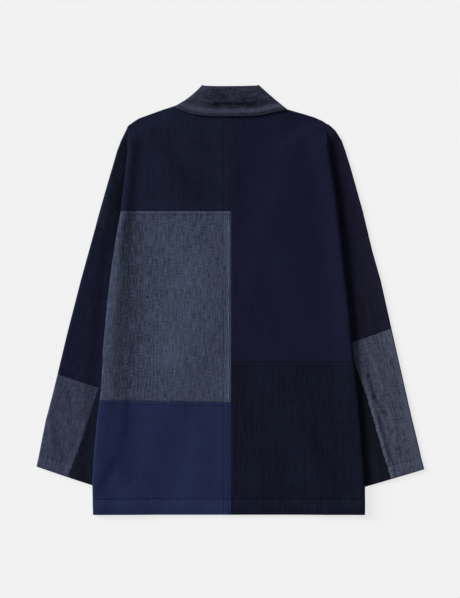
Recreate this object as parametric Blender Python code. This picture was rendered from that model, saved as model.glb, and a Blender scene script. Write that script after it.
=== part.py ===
"""A patched boro jacket laid flat with its back up.

The two front panels lie lowest, with the sleeves swung down and tucked under the body's sides, and the five
back panels lie on top. +X is to the viewer's right, +Y toward the collar, +Z up out of the back. The sizes
below are in millimetres, and the meshes are in metres.
"""

import math

import bmesh
import bpy
import numpy as np

MM = 0.001
LEFT, RIGHT = -1, 1

# Cloth
CLOTH = 1.5  # one layer
BAND_CLOTH = 2.4  # the collar band, folded double
AIR = 0.4  # between layers that lie on each other
SEAM_GAP = 0.3

# Heights of the middle of each layer
FLOOR_LAYER = CLOTH / 2
UPPER_LAYER = FLOOR_LAYER + CLOTH + AIR
LIFT_OVER_SLEEVE = 2 * (CLOTH + AIR)
BACK_OVER_FRONT = 2.9
SHOULDER_SEAM_RISE = CLOTH + SEAM_GAP
LOWEST_OVER_BAND = 0.2  # how low the back may sink over the thicker collar band, from its usual rise
LOWEST_OVER_FRONT = -0.9  # and over a front panel
SIDE_LIFT = {LEFT: 1.2, RIGHT: 2.4}  # how far the side folds stand up
SIDE_LIFT_REACH = 22
SLEEVE_PUFF = 1.6

# Levels up the jacket, from the middle of its length
HEM = -386.5
YOKE_SEAM = 161
LOWER_SEAM_RIGHT = -111
LOWER_SEAM_LEFT = -182

CENTRE_SEAM = 2
TUCK_UNDER = 40  # how far the back's cloth turns under the sides, below the armholes
TUCK_AT_SHOULDER = 5

# The folds at the body's sides, from the shoulder points down to the hem
SIDE_FOLDS = (
    # up, left, right
    (316, -184, 175),
    (269, -184.5, 179),
    (215, -190, 187),
    (161, -197.5, 193.5),
    (107, -207, 199),
    (53, -215, 205),
    (0, -221, 210),
    (-82, -228, 217),
    (-163, -232.5, 226),
    (-217, -239.5, 232),
    (-271, -244.5, 236),
    (-325, -248, 241),
    (-387, -247, 242),
)

# The back's top edge, along the left shoulder, under the collar and along the right shoulder
TOP_EDGE = (
    # across, up
    (-184, 313),
    (-176, 320),
    (-165, 327),
    (-146, 334),
    (-122, 341),
    (-104, 345),
    (-92, 341),
    (-63, 337),
    (2, 333),
    (63, 337),
    (92, 341),
    (104, 344),
    (135, 334),
    (154, 327),
    (169, 320),
    (175, 315),
)

# The outer edges of the drop shoulders and sleeves, down to the cuffs' outer corners
SLEEVE_EDGES = (
    # up, left, right
    (316, -183, 177),
    (305, -187.5, 189),
    (287, -196.5, 201),
    (269, -203.5, 207),
    (233, -214, 218),
    (161, -234.5, 238),
    (89, -254, 255),
    (35, -269, 270.5),
    (-55, -292, 290.5),
    (-163, -318, 315),
    (-217, -332, 327),
    (-306, -349.7, 348.7),
)

# Where the seams of each sleeve meet its outer edge, and the corners of the part that is tucked under
SLEEVE_PLACES = {
    LEFT: {
        "top": 315,
        "shoulder": 309,
        "armhole": 134,
        "patch": -134,
        "cuff": -300.5,
        "hidden shoulder": (-162, 287),
        "underarm": (-56, -4),
        "cuff's inner corner": (-204, -350),
        "armhole bow": 0,
    },
    RIGHT: {
        "top": 315,
        "shoulder": 309,
        "armhole": 115,
        "patch": -52,
        "cuff": -305.7,
        "hidden shoulder": (152, 290),
        "underarm": (63, -4),
        "cuff's inner corner": (202, -350),
        "armhole bow": 23,
    },
}

# The seam between the pale sleeve patch and the dark strip, measured in from the sleeve's outer edge
STRIP_SEAM = (
    # share of the way down the patch, distance in
    (0, 82),
    (0.35, 78),
    (0.6, 68),
    (1, 62),
)

# Large soft folds: a ridge or a valley along a line, as wide each way and as high as stated
SOFT_FOLDS = (
    # from across, from up, to across, to up, half width, rise
    (-192, 260, -232, -386, 55, 1.5),
    (-182, 130, -190, -170, 13, -1.5),
    (-185, -185, -187, -240, 10, -1.6),
    (-187, -240, -216, -318, 11, -1.6),
    (188, 250, 226, -386, 55, 1.0),
    (157, -214, 183, -322, 11, -1.5),
    (150, 215, 176, 90, 24, -0.9),
    (-120, 270, -60, 190, 30, -0.7),
    (90, 60, 150, -70, 34, 0.8),
    (60, -150, 40, -360, 30, 0.6),
    (-70, 60, -95, -90, 34, 0.8),
    (-60, -230, -75, -350, 24, 0.7),
    (-262, 30, -296, -120, 12, 1.0),
    (-236, 60, -272, -60, 8, -0.8),
    (-330, -180, -318, -290, 12, 0.8),
    (262, 40, 300, -130, 12, 1.0),
    (244, 20, 262, -80, 8, -0.8),
    (330, -190, 322, -300, 12, 0.8),
)

# The collar band
COLLAR_NECK = {LEFT: (-97, 346), RIGHT: (97, 346)}  # where the shoulders meet the collar
COLLAR_TOP = {LEFT: (-48.5, 386.6), RIGHT: (56, 386.6)}
COLLAR_SAG_AT_SEAM = 16
COLLAR_SAG_AT_TOP = 2
COLLAR_UNDER = 14  # how far the band reaches under itself past its side folds
COLLAR_RISE = (
    # share of the way up the band, height of its middle
    (0, 6.0),
    (0.14, 6.9),
    (0.26, 6.4),
    (0.42, 4.5),
    (0.6, 4.7),
    (1, 4.2),
)

# How finely the walls are divided
BACK_ACROSS = (0, 0.09, 0.19, 0.29, 0.39, 0.49, 0.57, 0.65, 0.73, 0.79, 0.85, 0.9, 0.95, 1)
FRONT_STEPS = 8
ROLL_STEPS = 4
UPPER_ROWS = (0, 0.06, 0.16, 0.3, 0.46, 0.64, 0.82, 1)  # shares of the way from the top edge to the yoke seam
ROW_PITCH = 26


def read_off(table, at, column=1):
    """The value in a column of a table, at a place along the table's first column."""
    rows = sorted(table)
    return float(np.interp(at, [row[0] for row in rows], [row[column] for row in rows]))


def mix(a, b, share):
    return a + (b - a) * share


def ease(value):
    """0 below 0, 1 above 1 and smooth between."""
    value = min(max(value, 0.0), 1.0)
    return value * value * (3 - 2 * value)


def at_side(table, side, up):
    return read_off(table, up, 1 if side == LEFT else 2)


def side_fold(side, up):
    return at_side(SIDE_FOLDS, side, up)


def shoulder_across(side):
    return TOP_EDGE[0][0] if side == LEFT else TOP_EDGE[-1][0]


def soft_folds(across, up):
    """The rise of all soft folds at a place."""
    rise = 0.0
    for x0, y0, x1, y1, half_width, height in SOFT_FOLDS:
        dx, dy = x1 - x0, y1 - y0
        along = ((across - x0) * dx + (up - y0) * dy) / (dx * dx + dy * dy)
        near = min(max(along, 0.0), 1.0)
        away = math.hypot(across - x0 - near * dx, up - y0 - near * dy)
        rise += height * math.exp(-((away / half_width) ** 2))
    return rise


# How far past each edge of the tucked sleeve the body stays lifted, and how long it takes to come down
TUCKED_EDGES = (
    # margin, ramp
    (8, 30),
    (22, 70),
    (22, 70),
    (25, 30),
)


def tucked_corners(side):
    places = SLEEVE_PLACES[side]
    return (
        (at_side(SLEEVE_EDGES, side, places["shoulder"]), places["shoulder"]),
        places["hidden shoulder"],
        places["underarm"],
        places["cuff's inner corner"],
        (at_side(SLEEVE_EDGES, side, places["cuff"]), places["cuff"]),
    )


def over_sleeve(side, across, up):
    """1 where the body lies over the tucked sleeve, easing to 0 beyond the sleeve's edges."""
    corners = tucked_corners(side)
    share = 1.0
    for start, end, (margin, ramp) in zip(corners, corners[1:], TUCKED_EDGES):
        dx, dy = end[0] - start[0], end[1] - start[1]
        cross = dx * (up - start[1]) - dy * (across - start[0])
        outside = -side * cross / math.hypot(dx, dy)
        share *= 1 - ease((outside - margin) / ramp)
    return share


def front_height(side, across, up):
    return FLOOR_LAYER + LIFT_OVER_SLEEVE * over_sleeve(side, across, up)


def back_height(side, across, up):
    """The middle of the back's cloth: close on the front at the shoulder seam, raised at the side folds."""
    from_top = read_off(TOP_EDGE, across) - up
    at_shoulder = math.exp(-((from_top / 15) ** 2)) * ease((abs(across) - 105) / 25)
    from_side = abs(side_fold(side, up) - across)
    lift = SIDE_LIFT[side] * math.exp(-((from_side / SIDE_LIFT_REACH) ** 2))
    lowest = mix(LOWEST_OVER_BAND, LOWEST_OVER_FRONT, ease((abs(across) - 100) / 20))
    loose = BACK_OVER_FRONT + max(lift + soft_folds(across, up), lowest)
    return front_height(side, across, up) + mix(loose, SHOULDER_SEAM_RISE, at_shoulder)


# The rows across the body, shared by the back and the fronts so that their edges run together
def level_rows():
    rows = [YOKE_SEAM]
    for level in (LOWER_SEAM_RIGHT, LOWER_SEAM_LEFT, HEM):
        start = rows[-1]
        steps = round((start - level) / ROW_PITCH)
        rows += [mix(start, level, k / steps) for k in range(1, steps + 1)]
    return rows


LEVEL_ROWS = level_rows()
YOKE_ROW = len(UPPER_ROWS) - 1
LAST_ROW = YOKE_ROW + len(LEVEL_ROWS) - 1


def row_at(level):
    return YOKE_ROW + LEVEL_ROWS.index(level)


def row_up(row, across, shift=0.0):
    """The height up the jacket of a row: the upper rows follow the top edge, the others are level."""
    if row <= YOKE_ROW:
        return mix(read_off(TOP_EDGE, across), YOKE_SEAM, UPPER_ROWS[row]) + shift
    return LEVEL_ROWS[row - YOKE_ROW] + shift


def tuck_edge(side, up):
    """Where the back's turned-under cloth ends and the front panel begins."""
    tuck = mix(TUCK_AT_SHOULDER, TUCK_UNDER, ease((310 - up) / 200))
    return side_fold(side, up) - side * tuck


def roll_points(centre, out, top, low):
    """Half a turn of cloth round a fold, from its top height to its low one, as points after the first."""
    radius, middle = (top - low) / 2, (top + low) / 2
    points = []
    for step in range(1, ROLL_STEPS + 1):
        turn = math.pi * step / ROLL_STEPS
        reach = radius * math.sin(turn)
        height = middle + radius * math.cos(turn)
        points.append((centre[0] + out[0] * reach, centre[1] + out[1] * reach, height))
    return points


def back_row(side, row, shift=0.0):
    """One row of half the back: out from the centre seam, round the side fold and on under it."""
    shoulder = shoulder_across(side)
    seam = CENTRE_SEAM + side * SEAM_GAP / 2
    end_up = row_up(row, shoulder, shift)
    fold = side_fold(side, end_up)
    near = fold - side * 4
    radius = (back_height(side, near, end_up) - front_height(side, near, end_up)) / 2
    points = []
    for share in BACK_ACROSS:
        up = row_up(row, mix(seam, shoulder, share), shift)
        edge = side_fold(side, up) - side * (radius + CLOTH / 2)
        across = mix(seam, edge, share)
        points.append((across, up, back_height(side, across, up)))
    edge = points[-1][0]
    low = front_height(side, edge, end_up)
    points += roll_points((edge, end_up), (side, 0), points[-1][2], low)
    for share in (0.5, 1):
        across = mix(edge, tuck_edge(side, end_up), share)
        points.append((across, end_up, front_height(side, across, end_up)))
    return points


def front_row(side, row):
    """One row of a front panel, from the collar band out to the side seam."""
    shoulder = shoulder_across(side)
    inner = collar_fold(side, 0)[0] + side * SEAM_GAP
    points = []
    for step in range(FRONT_STEPS + 1):
        share = step / FRONT_STEPS
        up = row_up(row, mix(inner, shoulder, share))
        outer = tuck_edge(side, up) - side * SEAM_GAP
        across = mix(inner, outer, share)
        points.append((across, up, front_height(side, across, up)))
    return points


# Sleeves and drop shoulders: flattened tubes, each section on a line from its outer edge in under the body
class Section:
    """A line across a sleeve from its outer edge to its inner one, and the heights of its upper layer."""

    def __init__(self, side, outer, inner, bow=0.0):
        self.side, self.bow = side, bow
        self.outer = np.array(outer, float)
        self.width = float(np.hypot(*(np.array(inner) - self.outer)))
        self.inward = (np.array(inner) - self.outer) / self.width
        self.outer_radius = (self.top(0) - FLOOR_LAYER) / 2
        self.inner_radius = (UPPER_LAYER - FLOOR_LAYER) / 2
        self.first = self.outer_radius + CLOTH / 2
        self.last = self.width - self.inner_radius - CLOTH / 2

    def place(self, away):
        share = away / self.width
        across, up = self.outer + self.inward * away
        return across, up + self.bow * 4 * share * (1 - share)

    def top(self, away):
        """The upper layer: puffed where it shows, flat where the body lies on it."""
        across, up = self.place(max(away, 0))
        outside = self.side * (across - side_fold(self.side, up))
        shown = ease((outside - 8) / 22)
        return UPPER_LAYER + shown * (SLEEVE_PUFF + soft_folds(across, up))

    def point(self, away, height):
        return (*self.place(away), height)

    def run(self, start, end, steps, on_top):
        """Points along the upper or the lower layer, both ends included."""
        points = []
        for step in range(steps + 1):
            away = mix(start, end, step / steps)
            points.append(self.point(away, self.top(away) if on_top else FLOOR_LAYER))
        return points

    def outer_roll(self):
        return roll_points(self.place(self.first), -self.inward, self.top(self.first), FLOOR_LAYER)

    def inner_roll(self):
        turned = roll_points(self.place(self.last), self.inward, UPPER_LAYER, FLOOR_LAYER)
        return turned[-2::-1] + [self.point(self.last, UPPER_LAYER)]


UNDERARM_SEAM = 3  # from the inner roll to the underarm seam, on the lower layer
INNER_LAG = 0.3  # the sections lean, because the armhole is steeper than the cuff


def sleeve_section(side, share, shift=0.0):
    """The section at a share of the way from the armhole to the cuff, shifted down the sleeve."""
    places = SLEEVE_PLACES[side]
    up = mix(places["armhole"], places["cuff"], share) - shift
    outer = (at_side(SLEEVE_EDGES, side, up), up)
    lagged = share - INNER_LAG * share * (1 - share)
    underarm, corner = places["underarm"], places["cuff's inner corner"]
    inner = (mix(underarm[0], corner[0], lagged), mix(underarm[1], corner[1], lagged) - shift)
    bow = places["armhole bow"] * max(1 - share / 0.25, 0) ** 2
    return Section(side, outer, inner, bow)


def shoulder_section(side, share):
    """The section of a drop shoulder at a share of the way from the shoulder point to the armhole."""
    places = SLEEVE_PLACES[side]
    up = mix(places["top"], places["armhole"] + SEAM_GAP, share)
    outer = (at_side(SLEEVE_EDGES, side, up), up)
    start, end = places["hidden shoulder"], places["underarm"]
    inner = (mix(start[0], end[0], share), mix(start[1], end[1] + SEAM_GAP, share))
    return Section(side, outer, inner, places["armhole bow"] * share**3)


def strip_seam(side, share):
    """How far in the seam between strip and patch lies, at a share of the way down the whole sleeve."""
    places = SLEEVE_PLACES[side]
    patch = (places["armhole"] - places["patch"]) / (places["armhole"] - places["cuff"])
    return read_off(STRIP_SEAM, (share - patch) / (1 - patch))


def strip_points(section, seam):
    """From the underarm seam round the inner edge and out over the top to the seam."""
    return (
        section.run(section.last - UNDERARM_SEAM, section.last, 1, False)
        + section.inner_roll()
        + section.run(section.last, seam, 5, True)[1:]
    )


def patch_points(section, seam):
    """From the seam out round the outer edge and back under to the underarm seam."""
    return (
        section.run(seam, section.first, 4, True)
        + section.outer_roll()
        + section.run(section.first, section.last - UNDERARM_SEAM - SEAM_GAP, 4, False)[1:]
    )


def sleeve_rows(side, kind):
    places = SLEEVE_PLACES[side]
    patch = (places["armhole"] - places["patch"]) / (places["armhole"] - places["cuff"])
    start, end = (0, patch) if kind == "upper" else (patch, 1)
    steps = round((end - start) * 17)
    rows = []
    for step in range(steps + 1):
        share = mix(start, end, step / steps)
        shift = SEAM_GAP if kind != "upper" and step == 0 else 0.0
        section = sleeve_section(side, share, shift)
        seam = strip_seam(side, share)
        if kind == "upper":
            rows.append(strip_points(section, seam)[:-1] + patch_points(section, seam))
        elif kind == "patch":
            rows.append(patch_points(section, seam))
        else:
            rows.append(strip_points(section, seam + SEAM_GAP))
    return rows


def shoulder_rows(side, steps=7):
    """A drop shoulder: folded round its outer edge and open at its hidden inner one."""
    seam = STRIP_SEAM[0][1]
    rows = []
    for step in range(steps + 1):
        section = shoulder_section(side, step / steps)
        seam_in = min(seam, section.width / 2)
        rows.append(section.run(section.last, seam_in, 5, True)[:-1] + patch_points(section, seam_in))
    return rows


# The collar band: across the back neck, under itself at slanted side folds and down the front edges
def collar_rise(share):
    return read_off(COLLAR_RISE, share)


def collar_fold(side, share):
    """The middle of the roll at a side fold, at a share of the way up the band, and the way out of it."""
    neck, top = np.array(COLLAR_NECK[side], float), np.array(COLLAR_TOP[side], float)
    along = (top - neck) / np.hypot(*(top - neck))
    out = np.array((side * along[1], -side * along[0]))
    radius = (collar_rise(share) - BAND_CLOTH / 2) / 2
    middle = mix(neck, top, share) - out * (radius + BAND_CLOTH / 2)
    return middle[0], middle[1], out


def collar_row(share, steps=14):
    """A line along the band at a share of its height, with its turned-under ends."""
    left_x, left_y, left_out = collar_fold(LEFT, share)
    right_x, right_y, right_out = collar_fold(RIGHT, share)
    rise, low = collar_rise(share), BAND_CLOTH / 2
    sag = mix(COLLAR_SAG_AT_SEAM, COLLAR_SAG_AT_TOP, share)
    across_band = []
    for step in range(steps + 1):
        part = step / steps
        dip = sag * (4 * part * (1 - part)) ** 0.8
        across_band.append((mix(left_x, right_x, part), mix(left_y, right_y, part) - dip, rise))
    left = roll_points((left_x, left_y), left_out, rise, low)
    right = roll_points((right_x, right_y), right_out, rise, low)
    left_end = (left_x, left_y - COLLAR_UNDER, low)
    right_end = (right_x, right_y - COLLAR_UNDER, low)
    return [left_end] + left[::-1] + across_band + right + [right_end]


BAND_SHARES = (0, 0.14, 0.26, 0.42, 0.6, 0.8, 1)


def band_rows(side):
    """The band down a front edge, from the collar's turned-under end to the hem."""
    columns = []
    for share in BAND_SHARES:
        across, up, _ = collar_fold(side, share)
        start = up - COLLAR_UNDER - SEAM_GAP
        ups = [mix(start, YOKE_SEAM, k / 6) for k in range(7)] + LEVEL_ROWS[1:]
        columns.append([(across, y, lifted_band(side, across, y)) for y in ups])
    return [list(row) for row in zip(*columns)]


def lifted_band(side, across, up):
    return BAND_CLOTH / 2 + LIFT_OVER_SLEEVE * over_sleeve(side, across, up)


# Turning rows of points into walls
def paint(name, red, green, blue, roughness=0.9):
    """A cloth colour, given as the screen's 0 to 255."""
    material = bpy.data.materials.new(name)
    material.use_nodes = True
    shader = material.node_tree.nodes["Principled BSDF"]
    linear = [((v / 255 + 0.055) / 1.055) ** 2.4 for v in (red, green, blue)]
    shader.inputs["Base Color"].default_value = (*linear, 1)
    shader.inputs["Roughness"].default_value = roughness
    shader.inputs["Metallic"].default_value = 0
    return material


def wall(name, rows, colour, thickness=CLOTH):
    """A piece of cloth: a grid laid through the rows of points and thickened to both sides."""
    across, along = len(rows[0]) - 1, len(rows) - 1
    mesh = bmesh.new()
    bmesh.ops.create_grid(mesh, x_segments=across, y_segments=along, size=1)
    for vertex in mesh.verts:
        column = round((vertex.co.x + 1) / 2 * across)
        row = round((vertex.co.y + 1) / 2 * along)
        vertex.co = [value * MM for value in rows[row][column]]
    data = bpy.data.meshes.new(name)
    mesh.to_mesh(data)
    mesh.free()
    data.shade_smooth()
    data.materials.append(colour)
    piece = bpy.data.objects.new(name, data)
    bpy.context.scene.collection.objects.link(piece)
    thick = piece.modifiers.new("Thickness", "SOLIDIFY")
    thick.thickness = thickness * MM
    thick.offset = 0
    thick.use_even_offset = True
    thick.use_quality_normals = True
    return piece


def back_panel(name, side, first, last, colour):
    rows = []
    for row in range(first, last + 1):
        shift = 0.0
        if row == first and first > 0:
            shift = -SEAM_GAP / 2
        if row == last and last < LAST_ROW:
            shift = SEAM_GAP / 2
        rows.append(back_row(side, row, shift))
    return wall(name, rows, colour)


for left_over in list(bpy.data.objects):
    bpy.data.objects.remove(left_over)

slub_indigo = paint("slub indigo", 26, 30, 50)
pale_crosshatch = paint("pale crosshatch", 62, 70, 90)
bright_navy = paint("bright navy", 32, 41, 74)
smooth_indigo = paint("smooth indigo", 24, 25, 46)
black_slub = paint("black slub stripe", 20, 22, 38)
heather = paint("collar heather", 50, 53, 70)
sleeve_indigo = paint("sleeve indigo", 25, 25, 42)

right_seam_row, left_seam_row = row_at(LOWER_SEAM_RIGHT), row_at(LOWER_SEAM_LEFT)
back_panel("back_yoke_left", LEFT, 0, YOKE_ROW, slub_indigo)
back_panel("back_middle_left", LEFT, YOKE_ROW, left_seam_row, pale_crosshatch)
back_panel("back_lower_left", LEFT, left_seam_row, LAST_ROW, bright_navy)
back_panel("back_upper_right", RIGHT, 0, right_seam_row, smooth_indigo)
back_panel("back_lower_right", RIGHT, right_seam_row, LAST_ROW, black_slub)

for side, word in ((LEFT, "left"), (RIGHT, "right")):
    front = [front_row(side, row) for row in range(LAST_ROW + 1)]
    wall(f"front_{word}", front, slub_indigo)
    wall(f"drop_shoulder_{word}", shoulder_rows(side), sleeve_indigo)
    wall(f"sleeve_upper_{word}", sleeve_rows(side, "upper"), sleeve_indigo)
    wall(f"sleeve_patch_{word}", sleeve_rows(side, "patch"), pale_crosshatch)
    wall(f"sleeve_strip_{word}", sleeve_rows(side, "strip"), black_slub)
    wall(f"collar_front_{word}", band_rows(side), heather, BAND_CLOTH)

collar = [collar_row(share) for share in BAND_SHARES]
wall("collar_back", collar, heather, BAND_CLOTH)
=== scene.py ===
"""The patched boro jacket's looks: it lies flat with its back up, on a plain pale table under soft light."""

import bmesh
import bpy
import numpy as np
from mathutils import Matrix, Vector
from mathutils.bvhtree import BVHTree


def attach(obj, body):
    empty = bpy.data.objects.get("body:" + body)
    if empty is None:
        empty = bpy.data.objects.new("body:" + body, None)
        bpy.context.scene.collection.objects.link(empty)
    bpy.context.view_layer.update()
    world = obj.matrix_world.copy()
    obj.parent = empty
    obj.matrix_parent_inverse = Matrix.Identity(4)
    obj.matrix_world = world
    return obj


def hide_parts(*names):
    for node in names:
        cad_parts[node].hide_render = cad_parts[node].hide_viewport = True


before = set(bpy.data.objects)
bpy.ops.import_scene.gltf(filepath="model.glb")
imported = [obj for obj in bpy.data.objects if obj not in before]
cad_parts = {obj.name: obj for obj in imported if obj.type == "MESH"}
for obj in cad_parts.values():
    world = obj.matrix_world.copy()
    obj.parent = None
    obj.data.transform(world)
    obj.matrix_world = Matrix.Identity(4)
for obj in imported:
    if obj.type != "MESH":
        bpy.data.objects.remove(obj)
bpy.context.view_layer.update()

# The sleeves
# Two flattened tubes of indigo cloth, which hang from the drop shoulders and lie lowest, partly under the
# body. Each is pieced from a dark upper length, and below it a pale crosshatch patch beside a dark strip.
MM = 0.001  # sizes are in millimetres, up to the table's section
LEFT, RIGHT = -1, 1
SIDES = ((LEFT, "left"), (RIGHT, "right"))
CLOTH = 1.5
AIR = 0.4  # between cloths that lie on each other
FLOOR_LAYER = CLOTH / 2  # the middle of a sleeve's lower cloth, and of its upper one
UPPER_LAYER = FLOOR_LAYER + CLOTH + AIR
SLEEVE_PUFF = {LEFT: 2.7, RIGHT: 1.1}  # how far the upper cloth stands up where it shows
SHOWN_FROM, SHOWN_RAMP = 8, 22  # outside the body's fold
UNDERARM_SEAM = 3  # from the inner fold
INNER_LAG = 0.3  # a sleeve's armhole is steeper than its cuff
CUFF_TURN = 21.6
SEAM_RIDGE = {LEFT: 0.6, RIGHT: 1.2}  # the cloth's rise beside the strip's seam
EDGE_WEAR_AND_HIGHLIGHT = {LEFT: 0.2, RIGHT: 1.2}  # how much lighter the outer edge is made: real fading, and a painted highlight
WEAR_AND_SHADE_REACH = 14
FOLD_SHADE = {
    # up, and the painted shade beside the body's fold: how much lighter the cloth is made there, negative
    # for darker
    LEFT: ((305, 0), (280, -1.2), (215, -1.7), (150, -1.6), (110, -0.9), (50, -0.2), (0, 0)),
    RIGHT: ((0, 0), (-200, 0)),
}
SHOWN_WIDTH = 116  # how much of a sleeve's width the body never hides
SEAM_PITCH = 1.1  # between rows of points beside a seam
STRIP_PITCH, PATCH_PITCH = 2.2, 2.1  # between points across the upper cloth
HIDDEN_STEPS, UNDER_STEPS = 14, 12

SIDE_FOLDS = (
    # up, left, right
    (316, -184, 175), (269, -184.5, 179), (215, -190, 187.5), (161, -196.5, 195), (107, -206, 201.5),
    (53, -214, 207.5), (0, -220.5, 213.5), (-82, -228, 220.8), (-163, -232.5, 229.5),
    (-217, -239.5, 235), (-271, -244.5, 238.5), (-325, -248, 243), (-387, -247, 243.5),
)
SLEEVE_EDGES = (
    # up, left, right
    (319, -180, 171.5), (315, -183, 179), (305, -187.5, 190), (287, -196.5, 201.5), (269, -203.5, 208),
    (233, -214, 219), (161, -234.5, 239), (89, -254, 256.2), (35, -269, 271.8), (-55, -292, 292),
    (-163, -318, 316.5), (-217, -332, 328.8), (-306, -350, 350.5),
)
PLACES = {
    # left and right: heights where seams and points meet the outer edge, hidden corners as across and up
    "top": (318, 318),
    "shoulder": (309, 309),
    "armhole": (134, 115),
    "patch": (-134, -52),
    "cuff": (-300.5, -305.7),
    "hidden shoulder": ((-162, 287), (152, 290)),
    "underarm": ((-56, -4), (63, -4)),
    "cuff's inner corner": ((-204, -350), (202, -350)),
    "armhole bow": (0, 23),
}
SLEEVE_PLACES = {side: {key: pair[side == RIGHT] for key, pair in PLACES.items()} for side in (LEFT, RIGHT)}
STRIP_SEAM = (
    # share of the way down the patch, distance in from the outer edge: left, right
    (0, 79, 82), (0.2, 75.6, 77.5), (0.3, 75.4, 74.3), (0.4, 75, 71.1), (0.46, 74.8, 70.2),
    (0.54, 73.4, 68.8), (0.63, 71.2, 67.5), (0.71, 68.7, 66.5), (0.8, 65.5, 66), (0.9, 63.3, 64),
    (1, 60.5, 62),
)
SOFT_FOLDS = (
    # from across, from up, to across, to up, half width, rise
    (-166, 120, -172, -160, 30, -1.2),
    (-200, 150, -213, -176, 9, 0.8),
    (-174, 150, -178, -90, 10, -0.8),
    (-182, -186, -183, -236, 8, -0.9),
    (-182, -236, -194, -290, 15, -1.2),
    (-206, -300, -236, -350, 11, -1.1),
    (-210, -200, -220, -290, 14, 0.5),
    (-76, -186, -77, -216, 6, -0.5),
    (150, -236, 192, -318, 9, -1.1),
    (122, -200, 150, -330, 16, 0.5),
    (12, 30, 56, -58, 8, -0.8),
    (30, 36, 70, -44, 11, 0.5),
    (150, 215, 168, 90, 24, -0.8),
    (-120, 270, -60, 190, 30, -0.7),
    (90, 60, 150, -70, 34, 0.8),
    (60, -150, 40, -360, 30, 0.6),
    (-70, 60, -95, -90, 34, 0.8),
    (-60, -230, -75, -350, 24, 0.7),
    (-262, 60, -306, -110, 24, 0.7),
    (-330, -180, -318, -290, 12, 0.6),
    (270, 60, 306, -100, 20, 0.5),
    (330, -190, 322, -300, 12, 0.6),
)
SMALL_CREASES = (
    # from across, from up, to across, to up, half width, rise
    (-238, 128, -222, 118, 2.6, -0.7),
    (-232, 120, -212, 108, 2.4, 0.5),
    (-230, 148, -212, 136, 2.8, -0.6),
    (-224, 160, -208, 152, 2.4, 0.4),
    (-222, 104, -214, 96, 2.6, -0.5),
    (-212, 186, -204, 150, 4.0, -0.7),
    (-300, -120, -262, -134, 3.0, 0.5),
    (-316, -112, -296, -124, 3.4, -0.5),
    (232, 30, 238, -10, 3.0, 0.4),
    (238, 0, 246, -44, 3.2, -0.5),
    (252, -20, 256, -64, 3.2, 0.4),
    (258, -44, 270, -56, 3.4, -0.6),
    (278, -36, 288, -48, 3.4, -0.5),
    (236, 190, 232, 150, 3.2, 0.4),
    (-318, -230, -300, -285, 4.0, -0.5),
    (-292, -160, -283, -200, 4.5, -0.5),
    (-328, -205, -322, -262, 3.6, 0.4),
    (244, 112, 226, 104, 3.0, -0.6),
    (256, 96, 236, 84, 3.4, 0.4),
    (246, -98, 250, -138, 4.0, -0.8),
    (250, -138, 262, -176, 3.2, -1.7),
    (262, -176, 282, -208, 3.4, -1.1),
    (260, -105, 276, -160, 4.0, 0.5),
    (290, -206, 302, -262, 4.0, 0.6),
    (268, -205, 280, -250, 3.4, -0.7),
    (284, -262, 292, -290, 3.0, -0.6),
    (300, -235, 309, -282, 3.2, -0.6),
    (296, -110, 306, -170, 4.5, -0.5),
    (318, -130, 324, -190, 4.5, 0.4),
)


def read_off(table, at, column=1):
    """Values in a column of a table, at places along the table's first column."""
    rows = np.array(sorted(table), float)
    return np.interp(at, rows[:, 0], rows[:, column])


def mix(a, b, share):
    return a + (b - a) * share


def ease(value):
    """0 below 0, 1 above 1 and smooth between."""
    value = np.clip(value, 0, 1)
    return value * value * (3 - 2 * value)


def bell(value):
    """1 at 0, dying away to both sides."""
    return np.exp(-(value**2))


def at_side(table, side, up):
    return read_off(table, up, 1 if side == LEFT else 2)


def side_fold(side, up):
    return at_side(SIDE_FOLDS, side, up)


def folds(table, across, up):
    """The rise at each place of all the folds in a table."""
    rise = np.zeros(np.broadcast(across, up).shape)
    for x0, y0, x1, y1, half_width, height in table:
        dx, dy = x1 - x0, y1 - y0
        along = ((across - x0) * dx + (up - y0) * dy) / (dx * dx + dy * dy)
        near = np.clip(along, 0, 1)
        away = np.hypot(across - x0 - near * dx, up - y0 - near * dy)
        rise = rise + height * bell(away / half_width)
    return rise


def ripple(along, spacing, turn):
    """An uneven wave along a line, from about -1 to 1, whose crests are never the same."""
    wave = 0
    for pitch, share in ((1, 0.45), (0.62, 0.3), (1.7, 0.35), (2.9, 0.3)):
        wave = wave + share * np.sin(2 * np.pi * along / (spacing * pitch) + turn * (2 + pitch))
    return wave


def dip(distance, depth, half_width):
    """A groove along a line of sewing."""
    return -depth * bell(distance / half_width)


def band(distance, width, rise):
    """A strip where the cloth lies double, from a line to its width away."""
    return rise * ease(distance / 1.6) * ease((width - distance) / 1.6)


def puckers(along, distance, spacing, reach, height, turn):
    """Small uneven gathers across a line of sewing, which die away from it."""
    return height * ripple(along, spacing, turn) * np.exp(-np.abs(distance) / reach)


def lie(across, up):
    """How unevenly washed cotton lies: long low waves in three directions."""
    return (
        0.16 * ripple(across + 0.2 * up, 92, 1.0)
        + 0.16 * ripple(up - 0.15 * across, 118, 2.3)
        + 0.09 * ripple(0.8 * across + 0.6 * up, 41, 4.1)
    )


def joined(*parts):
    """Rows of points, continued by other rows of points."""
    return np.concatenate(parts, axis=1)


def roll(x, y, top, low, out, start, sense, steps=10, edge_wear_and_shade=0.5):
    """Half a turn of cloth round a fold, from its top down to its low height, without the first point."""
    turn = np.pi * np.arange(1, steps + 1) / steps
    radius = (top - low) / 2
    reach = radius * np.sin(turn)
    height = (top + low) / 2 + radius * np.cos(turn)
    round_it = start + sense * radius * turn
    # Positive values lighten the turn of cloth as wear on the folded edge. Negative values darken it with
    # painted shade.
    wear_and_shade = edge_wear_and_shade * np.sin(turn) + 0 * radius
    return np.dstack([x + out[:, :1] * reach, y + out[:, 1:] * reach, height, round_it, wear_and_shade])


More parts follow.
